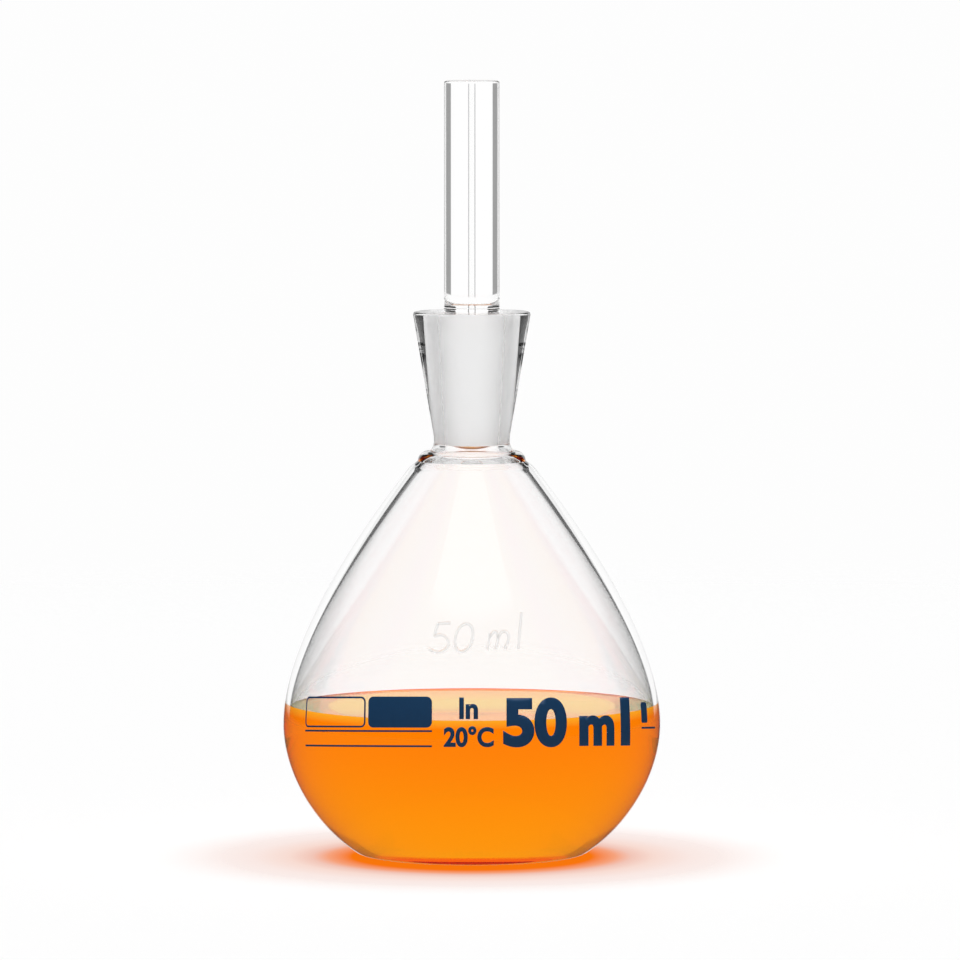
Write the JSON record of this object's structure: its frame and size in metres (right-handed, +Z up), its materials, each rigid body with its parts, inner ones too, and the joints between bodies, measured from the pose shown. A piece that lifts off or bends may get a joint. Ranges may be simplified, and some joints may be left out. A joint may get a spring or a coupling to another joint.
{
  "type": "density bottle with capillary stopper",
  "caption": "Pear-shaped glass density bottle on a flat foot, with a ground capillary stopper and an orange test liquid in its bulb.",
  "frame": {"origin": "middle of the flat ring that the bottle stands on, on the bottle's axis", "axes": "+Z up along the axis of bulb, neck and stopper; the printed capacity marking faces -Y"},
  "size_m": [0.0476, 0.0476, 0.0977],
  "materials": {
    "borosilicate_glass": "clear blown borosilicate glass, ground inside the neck",
    "stopper_glass": "clear capillary tube with a fine-ground cone",
    "orange_liquid": "clear orange aqueous liquid",
    "blue_enamel": "fired dark blue screen-printed enamel",
    "engraved_glass": "matt engraved line in the glass surface"
  },
  "bodies": {
    "flask": {"flask_body": "borosilicate_glass", "test_liquid": "orange_liquid"},
    "stopper": {"capillary_stopper": "stopper_glass"}
  },
  "joints": [
    {"name": "stopper_lift", "type": "slide", "parent": "flask", "child": "stopper", "axis": [0, 0, 1], "range_m": [0, 0.022]}
  ]
}
